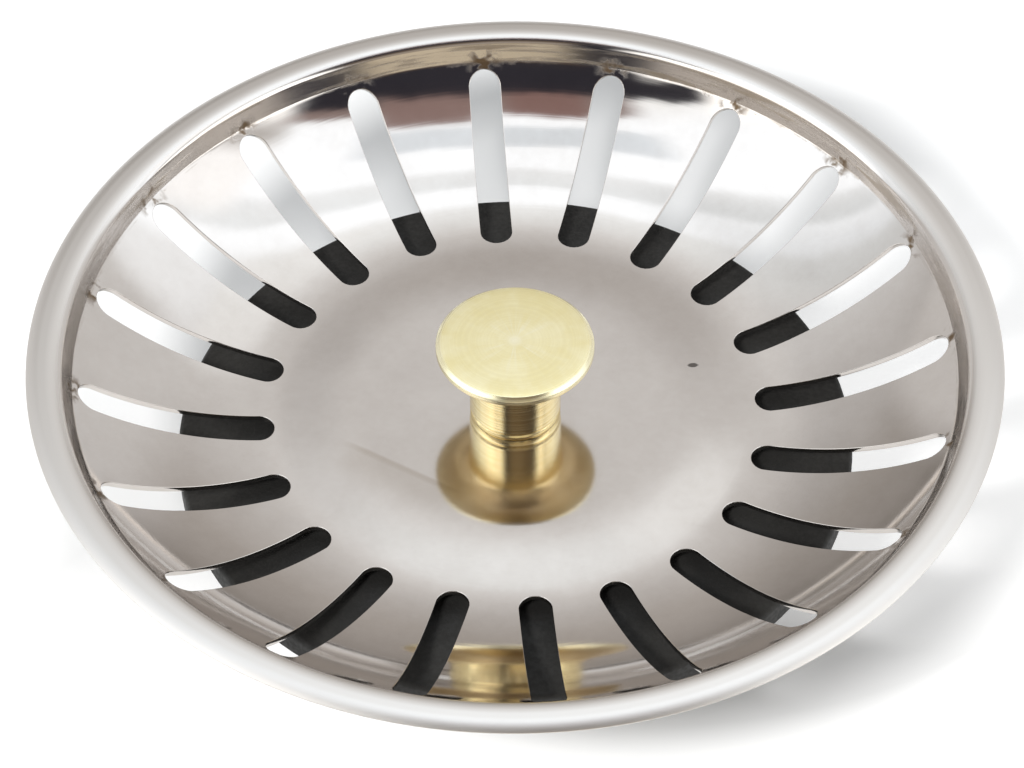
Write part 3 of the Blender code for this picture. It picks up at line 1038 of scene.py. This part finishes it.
def makeBall():
    bpy.ops.object.select_all(action="DESELECT")
    bpy.ops.mesh.primitive_cube_add(size=ball["radius"], location=(0, 0, 0))
    piece = bpy.context.object
    startEditing(piece)
    bpy.ops.mesh.subdivide(number_cuts=ball["steps"])
    stopEditing()
    change = piece.modifiers.new("Round", "CAST")
    change.cast_type = "SPHERE"
    change.factor = 1
    change.use_radius_as_size = False
    change.size = ball["radius"]
    applyAll(piece)
    pickOnly(piece)
    bpy.ops.object.shade_smooth()
    return piece


rightBall = makeBall()
for piece, name, side in ((rightBall, "Right", 1), (copyOf(rightBall), "Left", -1)):
    nameAs(piece, "catchBall" + name)
    piece.location = (side * post["ballPlace"], 0, post["crossHeight"])
    bakePlace(piece)
    dress(piece, ballSteel, "catch_ball_" + name.lower(), "ball_" + name.lower())


# Catch spring: one half is wound from the middle outwards and copied, and each half is pressed by its own ball

spring = {
    "wireRadius": 0.175 * mm,
    "coilRadius": 0.875 * mm,
    "endPlace": 2.324 * mm,
    "pitch": 0.88 * mm,
    "wireSides": 12,
    "stepsPerTurn": 32,
}


def makeHalfSpring():
    s = spring
    turns = s["endPlace"] / s["pitch"]
    place = (0, s["coilRadius"], 0)
    bpy.ops.object.select_all(action="DESELECT")
    bpy.ops.mesh.primitive_circle_add(vertices=s["wireSides"], radius=s["wireRadius"], location=place)
    piece = bpy.context.object
    bakePlace(piece)
    change = piece.modifiers.new("Wound", "SCREW")
    change.axis = "X"
    change.angle = 2 * math.pi * turns
    change.screw_offset = s["endPlace"]
    change.steps = round(turns * s["stepsPerTurn"])
    change.render_steps = change.steps
    applyAll(piece)
    startEditing(piece)
    bpy.ops.mesh.fill_holes(sides=0)
    faceOutwards()
    smoothFaces(piece, 40)
    return piece


rightHalf = makeHalfSpring()
leftHalf = copyOf(rightHalf)
leftHalf.rotation_euler.y = math.pi
for piece, name, side in ((rightHalf, "Right", 1), (leftHalf, "Left", -1)):
    nameAs(piece, "catchSpring" + name)
    piece.location.z = post["crossHeight"]
    bakePlace(piece)
    dress(piece, springSteel, "catch_spring", None)
    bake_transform(piece)


# The CAD pieces that stay

stays = {"threaded_stud": boltSteel, "upper_clamp_washer": plateSteel}
for nodeName, finish in stays.items():
    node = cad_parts[nodeName]
    node.data.materials.clear()
    node.data.materials.append(finish)


# Camera, fitted to the rim's ellipse and the ends of the slots

camera = {
    "place": (-0.17 * mm, -264.52 * mm, 309.86 * mm),
    "tilt": 43.105,
    "turn": 0.02,
    "roll": -0.24,
    "lens": 165.13,
    "sensor": 36,
    "clip": (0.01, 20),
}


def makeCamera():
    data = bpy.data.cameras.new("photoCamera")
    data.lens = camera["lens"]
    data.sensor_width = camera["sensor"]
    data.clip_start, data.clip_end = camera["clip"]
    viewer = bpy.data.objects.new("photoCamera", data)
    bpy.context.scene.collection.objects.link(viewer)
    aim = Matrix.Rotation(math.radians(camera["turn"]), 4, "Z")
    aim = aim @ Matrix.Rotation(math.radians(camera["tilt"]), 4, "X")
    aim = aim @ Matrix.Rotation(math.radians(camera["roll"]), 4, "Z")
    viewer.matrix_world = Matrix.Translation(camera["place"]) @ aim
    bpy.context.scene.camera = viewer


# Studio: pale floor, one soft lamp and a world of soft panels

panelWhite = (1.74, 1.85, 1.96)
studio = {
    "floorSize": 8.0,
    "floorColour": (0.80, 0.80, 0.795, 1),
    # what the camera sees of the paper besides its light: share by direction about the plug's axis
    "glowUnder": [(-180, 0), (-60, 0), (-28, 0.05), (-10, 0.15), (0, 0.34), (10, 0.50), (30, 0.55),
                  (48, 0.5), (62, 0.2), (75, 0.03), (95, 0), (110, 0.10), (125, 0.12), (142, 0.08),
                  (155, 0.02), (180, 0)],
    # and clear of the plug: outside a circle in front of it, at its left, and all round
    "glowClear": 0.28,
    "clearCentre": (0.0105, 0.0265),
    "clearFrom": (0.0395, 0.046),
    "clearFront": (0.008, -0.004),
    "clearLeft": (-0.036, -0.046),
    "clearRound": (0.065, 0.073),
    "lampPlace": (-0.284, -0.717, 0.839),
    "lampSize": 0.16,
    "lampPower": 11.9,
    "worldStrength": 2.0,
    "worldOnPaper": 0.50,  # share of the world's light that reaches dull surfaces
    "windowHeights": (0.40, 0.60),
    # colours by degrees over the viewer's side, from the far horizon to the near one
    "sky": [(0, (0.36, 0.335, 0.31)), (9, (0.48, 0.45, 0.425)), (24, (0.60, 0.57, 0.54)),
            (33, (0.71, 0.69, 0.67)), (40, (0.82, 0.81, 0.80)), (47, (0.93, 0.925, 0.92)),
            (54, (1.10, 1.11, 1.12)), (59, (1.28, 1.33, 1.36)), (64, (1.44, 1.51, 1.56)),
            (66, panelWhite), (71, panelWhite), (72.5, (1.36, 1.45, 1.52)), (78, (1.42, 1.50, 1.57)),
            (80, panelWhite), (100, panelWhite), (110, (1.60, 1.65, 1.68)), (130, (1.1, 1.05, 0.98)),
            (150, (0.8, 0.73, 0.65)), (180, (0.62, 0.58, 0.54))],
    "room": [(118, (0.06, 0.052, 0.055)), (125, (0.13, 0.10, 0.085)), (133, (0.22, 0.17, 0.13)),
             (145, (0.52, 0.46, 0.40)), (156, (0.46, 0.39, 0.29)), (166, (0.86, 0.75, 0.56)),
             (180, (0.9, 0.79, 0.6))],
}

# Panels of the world, each over the ones before it: limits sideways, limits overhead in degrees,
# softness of both, wobble of the edges, share, and colour
dimPanels = [  # multiplied: the left is dimmer
    ((-3, -0.18), (-9, 77), (0.10, 4), 0, 1, (0.86, 0.86, 0.86, 1)),
    ((-3, -0.33), (58, 69), (0.15, 3), 0, 1, (0.86, 0.86, 0.86, 1)),
]
panels = [
    # the right, and a pale horizon at the left
    ((0.42, 3), (-9, 50), (0.1, 4), 0, 0.8, (0.47, 0.47, 0.47, 1)),
    ((0.40, 3), (52, 66), (0.1, 4), 0, 0.8, (0.70, 0.73, 0.76, 1)),
    ((0.13, 0.42), (50, 65), (0.05, 3), 0.06, 0.7, (0.69, 0.71, 0.72, 1)),
    ((-3, -0.55), (-9, 40), (0.06, 4), 0, 1, (0.42, 0.415, 0.41, 1)),
    # a blue-grey panel overhead, then the viewer's dark shape with a reddish border
    ((-0.32, 0.33), (89, 97), (0.06, 1), 0.05, 1, (0.60, 0.655, 0.71, 1)),
    ((-0.30, 0.80), (102, 190), (0.05, 1.2), 0.10, 1, (0.21, 0.16, 0.15, 1)),
    ((0.08, 0.33), (98.5, 190), (0.03, 1.2), 0.06, 1, (0.20, 0.14, 0.13, 1)),
    ((-0.18, 0.02), (100.5, 190), (0.03, 1.2), 0.06, 1, (0.19, 0.12, 0.11, 1)),
    ((-0.52, 0.80), (108.6, 190), (0.05, 1.5), 0.14, 1, (0.022, 0.021, 0.027, 1)),
    ((0.36, 0.80), (105.3, 190), (0.04, 1.2), 0.08, 1, (0.022, 0.021, 0.027, 1)),
]
windows = [  # faded out below: behind the viewer at both sides
    ((0.58, 3), (75, 190), (0.06, 4), 0, 1, (0.84, 0.86, 0.88, 1)),
    ((-3, -0.36), (117, 190), (0.05, 2.5), 0, 1, (1.10, 1.11, 1.10, 1)),
]
sidePanels = [
    ((-3, -0.52), (104, 150), (0.05, 3), 0, 1, (1.20, 1.21, 1.20, 1)),
    ((0.59, 3), (105, 150), (0.05, 3), 0, 1, (1.20, 1.21, 1.20, 1)),
    ((0.56, 3), (95, 103), (0.05, 4), 0, 0.95, (0.36, 0.35, 0.34, 1)),
]
roomPanel = ((-0.20, 0.56), (121, 190), (0.05, 3), 0.04, 1)


def seenRays(tree):
    # 1 for what the camera sees, also in metal and through glass
    rays = tree.nodes.new("ShaderNodeLightPath")
    seen = plus(tree, rays.outputs["Is Camera Ray"], rays.outputs["Is Glossy Ray"])
    seen = plus(tree, seen, rays.outputs["Is Transmission Ray"])
    return calc(tree, "MINIMUM", seen, 1.0)


def makeFloor():
    bpy.ops.object.select_all(action="DESELECT")
    bpy.ops.mesh.primitive_plane_add(size=studio["floorSize"], location=(0, 0, 0))
    floor = bpy.context.object
    floor.name = "studioFloor"
    finish, tree, shader = newFinish("paperFloor")
    for key, value in (("Base Color", studio["floorColour"]), ("Roughness", 0.9),
                       ("Specular IOR Level", 0), ("Emission Color", (1, 1, 1, 1))):
        shader.inputs[key].default_value = value
    x, y = placeOf(tree)[1:3]
    radius, angle = lengthOf(tree, x, y), calc(tree, "ARCTAN2", y, x)
    turns = plus(tree, calc(tree, "DIVIDE", angle, 2 * math.pi), 0.5)
    glow = ramp(tree, turns, [(side / 360 + 0.5, (share, share, share)) for side, share in studio["glowUnder"]])
    centreX, centreY = studio["clearCentre"]
    off = lengthOf(tree, minus(tree, x, centreX), minus(tree, y, centreY))
    clear = times(tree, band(tree, off, *studio["clearFrom"]), band(tree, y, *studio["clearFront"]))
    clear = larger(tree, clear, band(tree, x, *studio["clearLeft"]))
    clear = larger(tree, clear, band(tree, radius, *studio["clearRound"]))
    glow = larger(tree, glow, times(tree, clear, studio["glowClear"]))
    feed(tree, times(tree, seenRays(tree), glow), shader.inputs["Emission Strength"])
    floor.data.materials.append(finish)


def makeLamp():
    data = bpy.data.lights.new("softLamp", "AREA")
    data.shape = "DISK"
    data.size = studio["lampSize"]
    data.energy = studio["lampPower"]
    lamp = bpy.data.objects.new("softLamp", data)
    bpy.context.scene.collection.objects.link(lamp)
    lamp.location = studio["lampPlace"]
    lamp.rotation_euler = (-lamp.location).to_track_quat("-Z", "Y").to_euler()
    lamp.visible_glossy = False


def makeWorld():
    # brightness by direction: overhead panels, a dark patch towards the viewer, dim at the far horizon
    world = bpy.data.worlds.new("studioWorld")
    bpy.context.scene.world = world
    world.use_nodes = True
    tree = world.node_tree
    background = tree.nodes["Background"]
    towards, x, y, z = placeOf(tree, "Generated")
    wander = minus(tree, noise(tree, towards, 2.2, 2), 0.5)
    ragged = minus(tree, noise(tree, towards, 7, 3), 0.5)
    overhead = times(tree, calc(tree, "ARCTAN2", z, y), 180 / math.pi)
    overhead = plus(tree, overhead, minus(tree, times(tree, wander, 8), 1.5))
    windowShare = band(tree, z, *studio["windowHeights"])

    def sweep(stops):
        # a ramp's colours stay below 1, so they are halved, and the background's strength makes up for it
        stops = [(place / 180, tuple(value / 2 for value in colour)) for place, colour in stops]
        return ramp(tree, calc(tree, "DIVIDE", overhead, 180), stops)

    def lay(whole, panel, colour, fade=1.0, mode="MIX"):
        # a soft-edged panel over what is there already
        acrossLimits, overheadLimits, softness, wobble, strength = panel
        across = plus(tree, x, times(tree, ragged, wobble))
        up = plus(tree, overhead, times(tree, ragged, wobble * 50))
        share = 1.0
        for value, limits, soft in zip((across, up), (acrossLimits, overheadLimits), softness):
            share = times(tree, share, band(tree, value, limits[0] - soft, limits[0] + soft))
            share = times(tree, share, band(tree, value, limits[1] + soft, limits[1] - soft))
        share = times(tree, times(tree, share, strength), fade)
        return blendColour(tree, share, whole, colour, mode)

    whole = sweep(studio["sky"])
    for group, fade, mode in ((dimPanels, 1.0, "MULTIPLY"), (panels, 1.0, "MIX"),
                              (windows, windowShare, "MIX"), (sidePanels, 1.0, "MIX")):
        for *panel, colour in group:
            whole = lay(whole, panel, colour, fade, mode)
    whole = lay(whole, roomPanel, sweep(studio["room"]))
    feed(tree, whole, background.inputs["Color"])
    share = times(tree, seenRays(tree), 1 - studio["worldOnPaper"])
    share = plus(tree, share, studio["worldOnPaper"])
    feed(tree, times(tree, share, studio["worldStrength"]), background.inputs["Strength"])


print("camera and studio")
makeCamera()
makeFloor()
makeLamp()
makeWorld()
bpy.context.scene.view_settings.view_transform = "Standard"

print("done")
